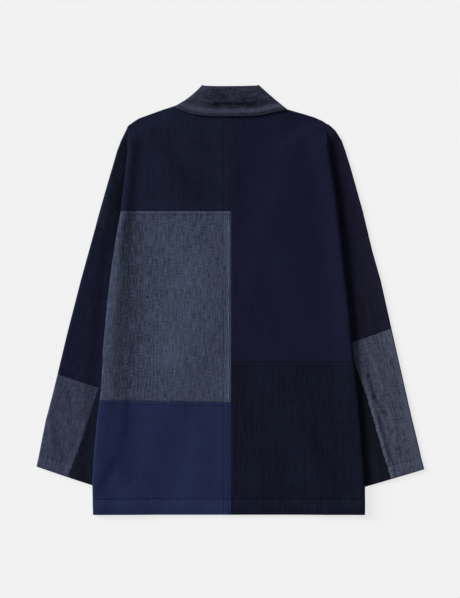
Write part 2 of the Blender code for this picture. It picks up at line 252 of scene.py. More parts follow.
class Sections:
    """Lines across a sleeve, one for each row of its cloth, from its outer edge in under the body."""

    def __init__(self, side, outer, inner, bow, relief, tip=0.0):
        self.side = side
        self.tip = tip
        self.outer = outer
        self.width = np.linalg.norm(inner - outer, axis=1)[:, None]
        self.inward = (inner - outer) / self.width
        self.bow = bow[:, None]
        self.relief = relief
        self.outer_radius = (self.top(0 * self.width)[0] - FLOOR_LAYER) / 2
        self.inner_radius = (UPPER_LAYER - FLOOR_LAYER) / 2
        self.first = self.outer_radius + CLOTH / 2
        self.last = self.width - self.inner_radius - CLOTH / 2

    def place(self, away):
        share = away / self.width
        x = self.outer[:, :1] + self.inward[:, :1] * away
        y = self.outer[:, 1:] + self.inward[:, 1:] * away
        return x, y + self.bow * 4 * share * (1 - share)

    def top(self, away):
        """The upper layer's height, and its wear and painted light and shade: puffed where it shows, flat
        under the body.
        """
        x, y = self.place(np.maximum(away, 0))
        from_fold = self.side * (x - side_fold(self.side, y))
        shown = ease((from_fold - SHOWN_FROM) / SHOWN_RAMP)
        small = self.relief(away) + folds(SMALL_CREASES, x, y)
        rise = SLEEVE_PUFF[self.side] + folds(SOFT_FOLDS, x, y) + lie(x, y) + small
        tip = self.tip * ease((from_fold + 5) / 3)
        fold_shade = read_off(FOLD_SHADE[self.side], y) * bell(np.maximum(from_fold, 0) / WEAR_AND_SHADE_REACH)
        # The relief goes into the colour too: its creases and grooves get painted shade and its ridges are
        # lightened as wear. Beside the fold there is painted shade, and the outer edge is made lighter by
        # fading and a painted highlight.
        wear_and_shade = shown * small + fold_shade + EDGE_WEAR_AND_HIGHLIGHT[self.side] * bell(away / WEAR_AND_SHADE_REACH)
        return UPPER_LAYER + tip + shown * rise, wear_and_shade

    def run(self, start, end, steps, layer):
        """Points along the upper layer, or along the lower one as reached from its outer or inner edge."""
        away = mix(start, end, np.linspace(0, 1, steps + 1))
        x, y = self.place(away)
        if layer == "upper":
            height, wear_and_shade = self.top(away)
            return np.dstack([x, y, height, away, wear_and_shade])
        low = np.full_like(x, FLOOR_LAYER)
        if layer == "lower, from outside":
            round_it = 2 * self.first - np.pi * self.outer_radius - away
        else:
            round_it = 2 * self.last + np.pi * self.inner_radius - away
        return np.dstack([x, y, low, round_it, 0 * x])

    def outer_roll(self):
        x, y = self.place(self.first)
        return roll(x, y, self.top(self.first)[0], FLOOR_LAYER, -self.inward, self.first, -1)

    def inner_roll(self):
        x, y = self.place(self.last)
        turned = roll(x, y, self.top(self.last)[0], FLOOR_LAYER, self.inward, self.last, 1, steps=6)
        return turned[:, -2::-1]

    def strip(self, seam):
        """From the underarm seam round the inner edge and out over the top to the seam."""
        hidden = np.maximum(seam, SHOWN_WIDTH) if np.ndim(seam) else seam
        hidden = np.minimum(hidden, self.last - 2)
        shown_steps = max(2, int(np.max(hidden - seam) / STRIP_PITCH))
        return joined(
            self.run(self.last - UNDERARM_SEAM, self.last, 1, "lower, from inside"),
            self.inner_roll(),
            self.run(self.last, hidden, HIDDEN_STEPS, "upper"),
            self.run(hidden, seam, shown_steps, "upper")[:, 1:],
        )

    def patch(self, seam):
        """From the seam out round the outer edge and back under to the underarm seam."""
        steps = int(np.max(seam) / PATCH_PITCH)
        under = self.last - UNDERARM_SEAM
        return joined(
            self.run(seam, self.first, steps, "upper"),
            self.outer_roll(),
            self.run(self.first, under, UNDER_STEPS, "lower, from outside")[:, 1:],
        )


def stepped(start, stretches):
    """Places along a line, with a pitch of its own for each stretch."""
    places = [start]
    for end, pitch in stretches:
        steps = max(1, round(abs(end - places[-1]) / pitch))
        places += list(np.linspace(places[-1], end, steps + 1)[1:])
    return np.array(places, float)


def strip_seam(side, down, patch_at, length):
    """How far in from the outer edge the strip's seam lies, a little wavy where its sewing draws it."""
    drawn = 0.7 * ripple(down, 15, 2.0 + side) * ease((down - patch_at) / 12)
    return (at_side(STRIP_SEAM, side, (down - patch_at) / (length - patch_at)) + drawn)[:, None]


def sleeve_lengths(side):
    """Along the outer edge, from the armhole seam to the pale patch and to the cuff."""
    armhole, patch, cuff = (SLEEVE_PLACES[side][name] for name in ("armhole", "patch", "cuff"))
    out = at_side(SLEEVE_EDGES, side, cuff) - at_side(SLEEVE_EDGES, side, armhole)
    length = float(np.hypot(armhole - cuff, out))
    return length * (armhole - patch) / (armhole - cuff), length


def sleeve_sections(side, down, relief):
    """Sections at distances down the sleeve from the armhole seam."""
    places = SLEEVE_PLACES[side]
    share = down / sleeve_lengths(side)[1]
    up = mix(places["armhole"], places["cuff"], share)
    outer = np.column_stack([at_side(SLEEVE_EDGES, side, up), up])
    lagged = share - INNER_LAG * share * (1 - share)
    underarm, corner = places["underarm"], places["cuff's inner corner"]
    inner = np.column_stack([mix(underarm[k], corner[k], lagged) for k in (0, 1)])
    bow = places["armhole bow"] * np.maximum(1 - share / 0.25, 0) ** 2
    return Sections(side, outer, inner, bow, relief)


SOFT_EDGE = 0.28  # a cut edge's rounding, as a share of the cloth's thickness


def added(name, data):
    """A new object in the scene."""
    made = bpy.data.objects.new(name, data)
    bpy.context.scene.collection.objects.link(made)
    return made


def wall(node, points, down, finish, thickness=CLOTH):
    """A piece of cloth: a grid laid through rows of points and thickened to both sides, in place of a node.

    points holds, for each row and column, across, up, height, the distance along the weft, and the wear with
    its painted light and shade.
    """
    rows, columns = points.shape[:2]
    grid = bmesh.new()
    bmesh.ops.create_grid(grid, x_segments=columns - 1, y_segments=rows - 1, size=1)
    data = bpy.data.meshes.new(f"{node}_cloth")
    grid.to_mesh(data)
    grid.free()
    flat = np.empty(len(data.vertices) * 3)
    data.vertices.foreach_get("co", flat)
    column = np.rint((flat[0::3] + 1) / 2 * (columns - 1)).astype(int)
    row = np.rint((flat[1::3] + 1) / 2 * (rows - 1)).astype(int)
    data.vertices.foreach_set("co", (points[row, column, :3] * MM).ravel())
    weave = np.dstack([points[..., 3], np.broadcast_to(down, (rows, columns))])
    corner = np.empty(len(data.loops), np.int32)
    data.loops.foreach_get("vertex_index", corner)
    layer = data.uv_layers.new(name="weave")
    layer.data.foreach_set("uv", (weave[row, column][corner] * MM).ravel())
    # This attribute lightens and darkens the cloth's colour: real wear, plus painted shade in creases,
    # grooves and beside folds, and painted light on the collar's roll.
    wear_and_shade = data.attributes.new("wear_and_shade", "FLOAT", "POINT")
    wear_and_shade.data.foreach_set("value", points[row, column, 4])
    data.update()
    data.shade_smooth()
    data.materials.append(finish)
    piece = added(f"{node}_cloth", data)
    thick = piece.modifiers.new("Thickness", "SOLIDIFY")
    thick.thickness = thickness * MM
    thick.offset = 0
    thick.use_even_offset = True
    thick.use_quality_normals = True
    soft = piece.modifiers.new("Soft edge", "BEVEL")
    soft.width = SOFT_EDGE * thickness * MM
    soft.segments = 2
    soft.limit_method = "ANGLE"
    soft.angle_limit = np.radians(60)
    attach(piece, "root")
    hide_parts(node)


class Value:
    """A number that varies over a surface. Sums written with it in Python add their Math nodes."""

    def __init__(self, finish, socket):
        self.finish = finish
        self.socket = socket

    def math(self, operation, *values):
        return self.finish.node("Math", {"operation": operation}, values)

    def output(self, name):
        return Value(self.finish, self.socket.node.outputs[name])

    def __add__(self, other):
        return self.math("ADD", self, other)

    def __sub__(self, other):
        return self.math("SUBTRACT", self, other)

    def __rsub__(self, other):
        return self.math("SUBTRACT", other, self)

    def __mul__(self, other):
        return self.math("MULTIPLY", self, other)

    def __truediv__(self, other):
        return self.math("DIVIDE", self, other)

    def sine(self):
        return self.math("SINE", self)

    def between(self, low, high):
        """0 at the low value, 1 at the high one, and clamped."""
        return self.finish.node("MapRange", {}, {"Value": self, "From Min": low, "From Max": high})

    __radd__ = __add__
    __rmul__ = __mul__


MATT_COTTON = {"Roughness": 0.95, "Specular IOR Level": 0.06, "Sheen Weight": 0.02, "Sheen Roughness": 0.45}


class Finish:
    """A material, with values for its shader."""

    def __init__(self, name, values=MATT_COTTON):
        self.material = bpy.data.materials.new(name)
        self.material.use_nodes = True
        self.tree = self.material.node_tree
        self.shader = self.tree.nodes["Principled BSDF"]
        for key, value in values.items():
            self.feed(self.shader.inputs[key], value)

    def node(self, kind, settings, inputs, output=0):
        """Adds a node of a kind: its settings first, then the values or links of its sockets."""
        made = self.tree.nodes.new("ShaderNode" + kind)
        for key, value in settings.items():
            setattr(made, key, value)
        pairs = inputs.items() if isinstance(inputs, dict) else enumerate(inputs)
        for key, value in pairs:
            self.feed(made.inputs[key], value)
        return Value(self, made.outputs[output])

    def feed(self, socket, value):
        if isinstance(value, Value):
            self.tree.links.new(value.socket, socket)
        else:
            socket.default_value = value

    def colours(self, share, dark, light):
        """A colour from a dark one to a light one, given as the screen's 0 to 255."""
        ends = {0: share, 6: screen(*dark), 7: screen(*light)}
        return self.node("Mix", {"data_type": "RGBA"}, ends, output=2)

    def made(self, colour, height, depth):
        """The material, with the colour and a relief of so many millimetres on its shader."""
        bump = {"Height": height, "Distance": depth * MM, "Strength": 1.0}
        normal = self.node("Bump", {}, bump)
        self.feed(self.shader.inputs["Base Color"], colour)
        self.feed(self.shader.inputs["Normal"], normal)
        return self.material


class Cloth(Finish):
    """A woven cloth's material. Its patterns follow the piece's own warp and weft, in millimetres."""

    def __init__(self, name):
        super().__init__(name)
        place = self.node("UVMap", {"uv_map": "weave"}, ())
        parts = self.node("SeparateXYZ", {}, (place,))
        self.weft = parts / MM
        self.warp = parts.output("Y") / MM
        # The attribute carries real wear, plus painted light and shade.
        self.wear_and_shade = self.node("Attribute", {"attribute_name": "wear_and_shade"}, ()).output("Fac")

    def streaks(self, across, along, turn, detail=2.0):
        """Soft noise from -0.5 to 0.5, whose marks are about so many millimetres across and along."""
        place = self.node("CombineXYZ", {}, (self.weft / across, self.warp / along, turn))
        noise = {"Vector": place, "Scale": 1.0, "Detail": detail, "Roughness": 0.55}
        return self.node("TexNoise", {}, noise) - 0.5

    def threads(self, pitch):
        """Yarns over and under each other, from -1 to 1."""
        turn = 2 * np.pi / pitch
        return (self.weft * turn).sine() * (self.warp * turn).sine()


def screen(red, green, blue):
    """A colour in the renderer's light values, from the screen's 0 to 255."""
    return (*[((v / 255 + 0.055) / 1.055) ** 2.4 for v in (red, green, blue)], 1)


def pale_crosshatch(name, dark, light):
    """Heathered blue-grey cloth with slubs both along the warp and along the weft."""
    cloth = Cloth(name)
    warp = cloth.streaks(2.1, 20, 1, detail=1.0)
    weft = cloth.streaks(14, 1.8, 2, detail=1.0)
    slubs = cloth.streaks(3.4, 70, 3, detail=1.0)
    flecks = cloth.streaks(2.2, 3.2, 4, detail=1.0)
    cloudy = cloth.streaks(34, 40, 5)
    yarns = cloth.threads(3.6) * (0.08 + cloth.streaks(24, 20, 6).between(0.03, 0.2) * 0.35)
    tone = 0.5 + warp * 1.3 + weft * 1.0 + slubs * 0.5 + flecks * 0.9 + cloudy * 0.25 + yarns
    # The colour takes the piece's wear and its painted light and shade.
    colour = cloth.colours((tone + cloth.wear_and_shade * 0.3).between(0, 1), dark, light)
    return cloth.made(colour, warp + weft + yarns, 0.5)


def slub_indigo(name, dark, light, streak=1.0, lines=0.0):
    """Dark indigo cloth: streak is how uneven its yarns are, lines how much a few thick ones stand out."""
    cloth = Cloth(name)
    warp = cloth.streaks(1.6, 22, 5)
    weft = cloth.streaks(12, 1.5, 6)
    broad = cloth.streaks(7, 90, 7)
    cloudy = cloth.streaks(35, 45, 8)
    tone = 0.5 + warp * 1.5 * streak + weft * 0.8 + broad * 0.7 * streak + cloudy * 0.5
    if lines:
        tone = tone - cloth.streaks(2.6, 150, 9, detail=1.0).between(0.13, 0.2) * lines
        tone = tone + cloth.streaks(2.4, 60, 10, detail=1.0).between(0.15, 0.22) * lines * 0.6
    # The colour takes the piece's wear and its painted light and shade.
    colour = cloth.colours((tone + cloth.wear_and_shade * 0.35).between(0, 1), dark, light)
    return cloth.made(colour, warp + weft * 0.6 + cloth.threads(1.5) * 0.2, 0.45)


def sleeve_relief(side, above, below, kind, seam=None):
    """The sewing's relief on a sleeve's piece. above and below are the distances from its two ends."""

    def relief(away):
        rise = dip(above, 0.5, 2.0) + dip(below, 0.4, 1.8)
        rise = rise + puckers(away, above, 13, 9, 0.3, 1.5 + side)
        if kind == "upper":
            return rise + puckers(away, below, 11, 6, 0.16, 2.6)
        rise = rise + band(below, CUFF_TURN, 0.45) + dip(below - CUFF_TURN, 0.35, 1.3)
        rise = rise + puckers(away, below - CUFF_TURN, 8, 10, 0.45, 0.7)
        if kind == "strip":
            return rise + dip(away - seam, 0.45, 1.8) + puckers(above, away - seam, 11, 8, 0.2, 3.3 - side)
        ridge = SEAM_RIDGE[side] * bell((seam - away - 4.5) / 3.6)
        groove = dip(seam - away - 11 - 2 * ripple(above, 50, 1.0), SEAM_RIDGE[side] / 2, 2.4)
        groove = groove * (0.6 + 0.5 * ripple(above, 34, 2.0))
        return rise + ridge + groove + puckers(above, seam - away - 5, 9, 7, 0.4, 3.3 - side)

    return relief


sleeve_cloth = {
    LEFT: slub_indigo("sleeve indigo, left", (13, 14, 31), (24, 27, 49)),
    RIGHT: slub_indigo("sleeve indigo, right", (16, 15, 28), (27, 26, 43)),
}
sleeve_pale = {
    LEFT: pale_crosshatch("pale sleeve patch, left", (32, 34, 50), (64, 67, 88)),
    RIGHT: pale_crosshatch("pale sleeve patch, right", (34, 37, 50), (72, 77, 94)),
}
sleeve_dark = {
    LEFT: slub_indigo("sleeve strip, left", (12, 16, 28), (23, 27, 42)),
    RIGHT: slub_indigo("sleeve strip, right", (11, 12, 20), (21, 22, 33)),
}

for side, word in SIDES:
    patch_at, length = sleeve_lengths(side)
    down = stepped(0, ((8, SEAM_PITCH), (patch_at - 6, 2.3), (patch_at, SEAM_PITCH)))
    seam = strip_seam(side, down, patch_at, length)
    relief = sleeve_relief(side, down[:, None], patch_at - down[:, None], "upper")
    sections = sleeve_sections(side, down, relief)
    points = joined(sections.strip(seam)[:, :-1], sections.patch(seam))
    wall(f"sleeve_upper_{word}", points, -down[:, None], sleeve_cloth[side])

    down = stepped(patch_at, ((patch_at + 8, SEAM_PITCH), (length - 26, 2.2), (length, SEAM_PITCH)))
    seam = strip_seam(side, down, patch_at, length)
    above, below = down[:, None] - patch_at, length - down[:, None]
    sections = sleeve_sections(side, down, sleeve_relief(side, above, below, "patch", seam))
    wall(f"sleeve_patch_{word}", sections.patch(seam), -down[:, None], sleeve_pale[side])
    sections = sleeve_sections(side, down, sleeve_relief(side, above, below, "strip", seam))
    wall(f"sleeve_strip_{word}", sections.strip(seam), -down[:, None], sleeve_dark[side])

# The drop shoulders
# The body's own cloth between the back's side folds and the sleeve seams, folded round the outer edge.
# Slub cotton like the sleeves', open inside along the hidden edge where it runs on into the body.
SHOULDER_TIP_RISE = 3.9  # so that the tip lies level with the back's cloth
TIP_FROM, TIP_RAMP = 286, 18

shoulder_cloth = {
    LEFT: slub_indigo("drop shoulder, left", (5, 7, 18), (34, 38, 57), streak=0.7),
    RIGHT: slub_indigo("drop shoulder, right", (15, 13, 27), (27, 24, 42)),
}

for side, word in SIDES:
    places = SLEEVE_PLACES[side]
    drop = places["top"] - places["armhole"]
    down = stepped(0, ((drop - 8, 2.4), (drop, SEAM_PITCH)))
    share = down / drop
    up = mix(places["top"], places["armhole"], share)
    outer = np.column_stack([at_side(SLEEVE_EDGES, side, up), up])
    start, end = places["hidden shoulder"], places["underarm"]
    inner = np.column_stack([mix(start[k], end[k], share) for k in (0, 1)])
    below = drop - down[:, None]

    def shoulder_relief(away, below=below):
        return dip(below, 0.5, 2.0) + puckers(away, below, 12, 10, 0.26, 4.0)

    tip = SHOULDER_TIP_RISE * ease((up - TIP_FROM) / TIP_RAMP)[:, None]
    sections = Sections(side, outer, inner, places["armhole bow"] * share**3, shoulder_relief, tip)
    seam = np.minimum(STRIP_SEAM[0][1], sections.width / 2)
    hidden = sections.run(sections.last, seam, 16, "upper")[:, :-1]
    points = joined(hidden, sections.patch(seam))
    wall(f"drop_shoulder_{word}", points, -down[:, None], shoulder_cloth[side])

# The front panels
# Two plain panels of the yoke's slub indigo. They lie under the back and over the tucked parts of the
# sleeves, sewn to the back at the shoulders and at the sides.
LIFT_OVER_SLEEVE = 2 * (CLOTH + AIR)
TUCK_UNDER = 40  # how far the back's cloth turns under at the sides
TUCK_AT_SHOULDER = 5
CENTRE_SEAM = 2
HEM = -387.6
HEM_TURN = 27.5
YOKE_SEAM = 159.2
BAND_CLOTH = 2.4
TOP_EDGE = (
    # across, up
    (-184, 313), (-176, 320), (-165, 327), (-146, 334), (-122, 342.5), (-106, 347.5), (-100, 349.5),
    (-95, 347), (-63, 340), (2, 335), (63, 340), (95, 344), (102, 343.5), (106, 342.5), (122, 338),
    (135, 334.5), (154, 328.5), (169, 321.5), (175, 317),
)
TUCKED_EDGES = (
    # past each edge of the tucked sleeve: how far the body stays lifted, and how wide the slope down is
    (8, 30),
    (22, 70),
    (22, 70),
    (25, 30),
)
COLLAR_NECK = {LEFT: (-100, 349), RIGHT: (103, 343.5)}  # the lower corners of the collar's band
COLLAR_TOP = {LEFT: (-49.5, 388), RIGHT: (51, 388)}
COLLAR_BOW = {LEFT: 3.2, RIGHT: 0.8}  # how far its slanted side folds curve in
COLLAR_RISE = (
    # share of the way up the band, height of its middle
    (0, 6.0), (0.05, 6.8), (0.1, 7.0), (0.16, 6.4), (0.25, 4.9), (0.3, 4.8), (0.4, 5.3), (0.5, 5.9),
    (0.58, 6.0), (0.75, 5.3), (1, 4.2),
)


def over_sleeve(side, across, up):
    """1 where the body lies over the tucked sleeve, easing to 0 beyond the sleeve's edges."""
    places = SLEEVE_PLACES[side]
    corners = (
        (at_side(SLEEVE_EDGES, side, places["shoulder"]), places["shoulder"]),
        places["hidden shoulder"],
        places["underarm"],
        places["cuff's inner corner"],
        (at_side(SLEEVE_EDGES, side, places["cuff"]), places["cuff"]),
    )
    share = 1.0
    for start, end, (margin, ramp) in zip(corners, corners[1:], TUCKED_EDGES):
        dx, dy = end[0] - start[0], end[1] - start[1]
        outside = -side * (dx * (up - start[1]) - dy * (across - start[0])) / np.hypot(dx, dy)
        share = share * (1 - ease((outside - margin) / ramp))
    return share


def front_height(side, across, up):
    return FLOOR_LAYER + LIFT_OVER_SLEEVE * over_sleeve(side, across, up)


def tuck_edge(side, up):
    """Where the back's turned-under cloth ends and the front panel begins."""
    return side_fold(side, up) - side * mix(TUCK_AT_SHOULDER, TUCK_UNDER, ease((310 - up) / 200))


def shoulder_across(side):
    return TOP_EDGE[0 if side == LEFT else -1][0]


def collar_fold(side, share):
    """The middle of the collar's roll at a side fold, for shares of the way up, and its way out."""
    neck, top = np.array(COLLAR_NECK[side], float), np.array(COLLAR_TOP[side], float)
    along = (top - neck) / np.linalg.norm(top - neck)
    out = np.array((side * along[1], -side * along[0]))
    radius = (read_off(COLLAR_RISE, share) - BAND_CLOTH / 2) / 2
    inset = radius + BAND_CLOTH / 2 + COLLAR_BOW[side] * 4 * share * (1 - share)
    middle = neck + (top - neck) * share[:, None] - out * inset[:, None]
    return middle[:, :1], middle[:, 1:], out


FRONT_FOLDS = (
    # from across, from up, to across, to up, half width, rise
    (-150, 240, -118, 60, 15, 0.4),
    (-80, 150, -96, -40, 18, 0.35),
    (-92, -70, -118, -270, 16, 0.4),
    (-190, -120, -204, -330, 13, 0.3),
    (146, 215, 112, 30, 15, 0.4),
    (84, 90, 92, -90, 20, 0.3),
    (104, -90, 134, -290, 17, 0.4),
    (196, -150, 206, -340, 12, 0.3),
)


def on_to_hem(upper, rows):
    """Rows of heights, and below them so many level ones from the yoke's seam to the hem."""
    level = np.linspace(YOKE_SEAM, HEM, rows + 1)[1:, None]
    return np.concatenate([upper, np.broadcast_to(level, (rows, upper.shape[1]))])


front_cloth = slub_indigo("front slub indigo", (18, 21, 36), (34, 38, 58))

for side, word in SIDES:
    share = np.linspace(0, 1, 24)
    top_share = np.linspace(0, 1, 18)[:, None]
    inner = collar_fold(side, np.zeros(1))[0]
    upper = mix(read_off(TOP_EDGE, mix(inner, shoulder_across(side), share)), YOKE_SEAM, top_share)
    up = on_to_hem(upper, 61)
    across = mix(inner, tuck_edge(side, up), share)
    above_hem = up - HEM
    small = folds(FRONT_FOLDS, across, up) + band(above_hem, HEM_TURN, 0.25)
    small = small + puckers(across, above_hem - HEM_TURN, 9, 9, 0.1, 2)
    small = np.clip(small, 0, 0.45) * ease(share / 0.05) * ease((1 - share) / 0.05)
    height = front_height(side, across, up) + small
    points = np.dstack([across, up, height, across, small])
    wall(f"front_{word}", points, up, front_cloth)

# The back
# Five panels of indigo cloths, joined by flat-felled seams: yoke, pale middle and navy lower patch on the
# left, two dark panels on the right. The side folds turn under to the side seams, and the hem is turned up.
BACK_OVER_FRONT = 2.9
SHOULDER_SEAM_RISE = CLOTH + 0.3
LOOSER = 0.5  # room for the seams' relief over the layers below
LOWEST_OVER_BAND = 0.0  # the back's lowest rise over the collar's bands, and over the fronts
LOWEST_OVER_FRONT = -0.9
SIDE_LIFT = {
    # up, rise beside the fold, its crest's distance from the fold, and its reach
    LEFT: (
        (280, 4.6, 6, 12),
        (117, 4.6, 8, 12),
        (26, 4.2, 11, 20),
        (-92, 3.8, 7, 18),
        (-387, 3.0, 8, 20),
    ),
    RIGHT: (
        (280, 6.0, 2, 26),
        (90, 7.4, 2, 24),
        (0, 7.0, 2, 24),
        (-92, 5.3, 2, 24),
        (-165, 4.2, 2, 24),
        (-240, 3.5, 2, 24),
        (-387, 3.0, 2, 24),
    ),
}
LOWER_SEAM_RIGHT = -112.5
LOWER_SEAM_LEFT = -182.8
LOWER_SEAM_LEAN = (-2.6, 1.6)  # how far the left one runs off level, at the centre seam and at the side fold
FELL = 7  # a felled seam's width
CENTRE_FELL = 12.4
SEWN_IN = 1.8  # how far in from a felled seam's edges its sewing runs
CENTRE_RISE = {LEFT: 0.4, RIGHT: 1.0}  # how far the panels are lifted where they meet at the centre
ROLL_STEPS = 12
FELL_PITCH = 0.9  # between rows of points beside a felled seam
FADE_AND_SHADE = (
    # from across, from up, to across, to up, half width, how much lighter it is made, negative for darker:
    # fading, and painted shade in the soft valley beside the left fold (the lines near -190 and -184 across)
    (-56, 330, -50, 190, 46, -0.45),
    (-6, 330, -6, 165, 8, -0.5),
    (-150, 290, -150, 190, 34, 0.15),
    (18, 320, 18, 165, 22, -0.25),
    (24, 90, 44, -20, 14, -0.25),
    (-7, -190, -7, -380, 7, -0.7),
    (-190, -80, -190, -165, 14, -0.6),
    (-184, -200, -184, -310, 16, -1.2),
    (-30, -200, -34, -330, 26, -0.2),
)


def felled(distance, width, rise=0.45):
    """A felled seam: cloth lies threefold from the seam's line to its sewing, with a groove along each."""
    sewn = dip(distance - width + SEWN_IN, 0.25, 0.9) + dip(distance - SEWN_IN, 0.18, 0.9)
    return band(distance, width, rise) + sewn + dip(distance - width - 0.8, 0.3, 1.4)


def lower_left_seam(across):
    return LOWER_SEAM_LEFT + mix(*LOWER_SEAM_LEAN, np.abs(across - CENTRE_SEAM) / 232)


def back_relief(side, across, up):
    """The sewing's relief on the back, with the puckers that it draws."""
    inward = side * (across - CENTRE_SEAM)
    above_hem = up - HEM
    drawn = 0.4 * ripple(across, 17, 1.0 + side)
    rise = band(above_hem, HEM_TURN, 0.25) + dip(above_hem - HEM_TURN - drawn, 0.9, 1.6)
    rise = rise + 0.5 * bell((above_hem - 17) / 7)
    rise = rise + puckers(across, above_hem - HEM_TURN, 8.5, 8, 0.3, 1 + side)
    rise = rise + puckers(across, above_hem, 8.5, 16, 0.3, 3 + side) * ease((HEM_TURN - above_hem) / 4)
    if side == LEFT:
        rise = rise + felled(inward, CENTRE_FELL, rise=0.25)
        rise = rise + puckers(up, inward - 6, 15, 10, 0.12, 2.2)
        for below in (YOKE_SEAM - up, lower_left_seam(across) - up):
            rise = rise + felled(below, FELL, rise=0.3) * (below > 0) + dip(below, 0.45, 1.6) * (below <= 0)
            rise = rise + puckers(across, below - 3, 13, 8, 0.14, 1.7)
    else:
        below = LOWER_SEAM_RIGHT - up
        rise = rise + dip(inward, 0.5, 1.6)
        rise = rise + puckers(up, inward, 24, 16, 0.2, 0.4)
        rise = rise + felled(below, FELL) * (below > 0) + dip(below - 0.8, 1.1, 1.5)
        rise = rise + puckers(across, below - 3, 13, 9, 0.14, 5)
        crinkled = ease(below / 8)
        wander = 3 * np.sin(up / 37) + 2 * np.sin(up / 17 + across / 30)
        rise = rise + crinkled * 0.22 * ripple(across + wander, 10.5, 2)
    return rise


def back_height(side, across, up):
    """The middle of the back's cloth, and its wear and painted shade there."""
    from_top = read_off(TOP_EDGE, across) - up
    at_shoulder = bell(from_top / 15) * ease((np.abs(across) - 105) / 25)
    from_side = np.abs(side_fold(side, up) - across)
    lift, crest, reach = (read_off(SIDE_LIFT[side], up, column) for column in (1, 2, 3))
    lift = lift * bell(np.maximum(from_side - crest, 0) / reach) * ease((304 - up) / 26)
    lowest = mix(LOWEST_OVER_BAND, LOWEST_OVER_FRONT, ease((np.abs(across) - 100) / 20))
    small = back_relief(side, across, up) * ease((from_side - 1) / 6)
    waves = lie(across, up) + LOOSER
    soft = folds(SOFT_FOLDS, across, up)
    centre = CENTRE_RISE[side] * bell((across - CENTRE_SEAM) / 16)
    rise = lift + soft + (waves + small + centre) * ease((from_top - 8) / 20)
    loose = BACK_OVER_FRONT + np.maximum(rise, lowest)
    height = front_height(side, across, up) + mix(loose, SHOULDER_SEAM_RISE, at_shoulder)
    # The seams' grooves and the soft folds' valleys get painted shade and their ridges are lightened as
    # wear. The table adds fading and more painted shade.
    return height, small + 0.5 * soft + folds(FADE_AND_SHADE, across, up)


def back_panel(node, side, top_share, level, finish):
    """Half the back between two levels: out from the centre seam, round the side fold and on under it.

    Each row lies a share of the way from the back's top edge down to its level.
    """
    top_share, level = top_share[:, None], level[:, None]
    shoulder = shoulder_across(side)
    width = abs(shoulder - CENTRE_SEAM)
    share = stepped(0, ((16 / width, FELL_PITCH / width), (1, 2.2 / width)))
    end_up = mix(read_off(TOP_EDGE, shoulder), level, top_share)
    near = side_fold(side, end_up) - side * 4
    radius = (back_height(side, near, end_up)[0] - front_height(side, near, end_up)) / 2
    up = mix(read_off(TOP_EDGE, mix(CENTRE_SEAM, shoulder, share)), level, top_share)
    if side == LEFT:
        lean = np.interp(level, (HEM, LOWER_SEAM_LEFT, YOKE_SEAM), (0, 1, 0))
        up = up + lean * mix(*LOWER_SEAM_LEAN, share)
        end_up = end_up + lean * LOWER_SEAM_LEAN[1]
    edge = side_fold(side, up) - side * (radius + CLOTH / 2)
    across = mix(CENTRE_SEAM, edge, share)
    height, small = back_height(side, across, up)
    flat = np.dstack([across, up, height, across, small])
    edge, top = across[:, -1:], height[:, -1:]
    low = front_height(side, edge, end_up)
    out = np.array([[side, 0]])
    # The turn round the side fold is darkened with painted shade.
    turned = roll(edge, end_up, top, low, out, edge, side, ROLL_STEPS, edge_wear_and_shade=-0.9)
    under_share = np.linspace(0, 1, 9)[1:]
    under = mix(edge, tuck_edge(side, end_up), under_share)
    round_it = edge + side * (np.pi * (top - low) / 2 + np.abs(under - edge))
    level_up = np.broadcast_to(end_up, under.shape)
    tucked = np.dstack([under, level_up, front_height(side, under, level_up), round_it, 0 * under])
    points = joined(flat, turned, tucked)
    wall(node, points, points[..., 1], finish)


def level_panel(node, side, start, stretches, finish):
    """A back panel whose rows all run level."""
    level = stepped(start, stretches)
    back_panel(node, side, np.ones(len(level)), level, finish)


def hem_panel(node, side, start, finish):
    """A level panel from a seam down to the hem."""
    stretches = ((start - 10, FELL_PITCH), (HEM + 33, 2.3), (HEM, 1.1))
    level_panel(node, side, start, stretches, finish)


yoke_cloth = slub_indigo("yoke slub indigo", (14, 17, 33), (27, 30, 51))
upper_right_cloth = slub_indigo("smooth indigo", (14, 15, 33), (22, 24, 46), streak=0.4)
lower_right_cloth = slub_indigo("black slub stripe", (8, 11, 23), (19, 22, 39), streak=0.8, lines=0.9)
middle_cloth = pale_crosshatch("pale crosshatch", (33, 38, 52), (72, 79, 100))
navy_cloth = slub_indigo("bright navy", (24, 30, 58), (35, 43, 74), streak=0.3)

YOKE_HEIGHT = 172
RIGHT_TOP_ROWS = 76  # they fan out between the shoulder and the yoke seam's level
yoke_share = stepped(0, ((0.96, 2.3 / YOKE_HEIGHT), (1, FELL_PITCH / YOKE_HEIGHT)))
yoke_level = np.full(len(yoke_share), YOKE_SEAM)
back_panel("back_yoke_left", LEFT, yoke_share, yoke_level, yoke_cloth)
stretches = ((YOKE_SEAM - 10, FELL_PITCH), (LOWER_SEAM_LEFT + 5, 2.3), (LOWER_SEAM_LEFT, FELL_PITCH))
level_panel("back_middle_left", LEFT, YOKE_SEAM, stretches, middle_cloth)
hem_panel("back_lower_left", LEFT, LOWER_SEAM_LEFT, navy_cloth)
lower_rows = stepped(YOKE_SEAM, ((LOWER_SEAM_RIGHT + 6, 2.4), (LOWER_SEAM_RIGHT, FELL_PITCH)))[1:]
right_level = np.append(np.full(RIGHT_TOP_ROWS, YOKE_SEAM), lower_rows)
right_share = np.append(np.linspace(0, 1, RIGHT_TOP_ROWS), np.ones(len(lower_rows)))
back_panel("back_upper_right", RIGHT, right_share, right_level, upper_right_cloth)
hem_panel("back_lower_right", RIGHT, LOWER_SEAM_RIGHT, lower_right_cloth)

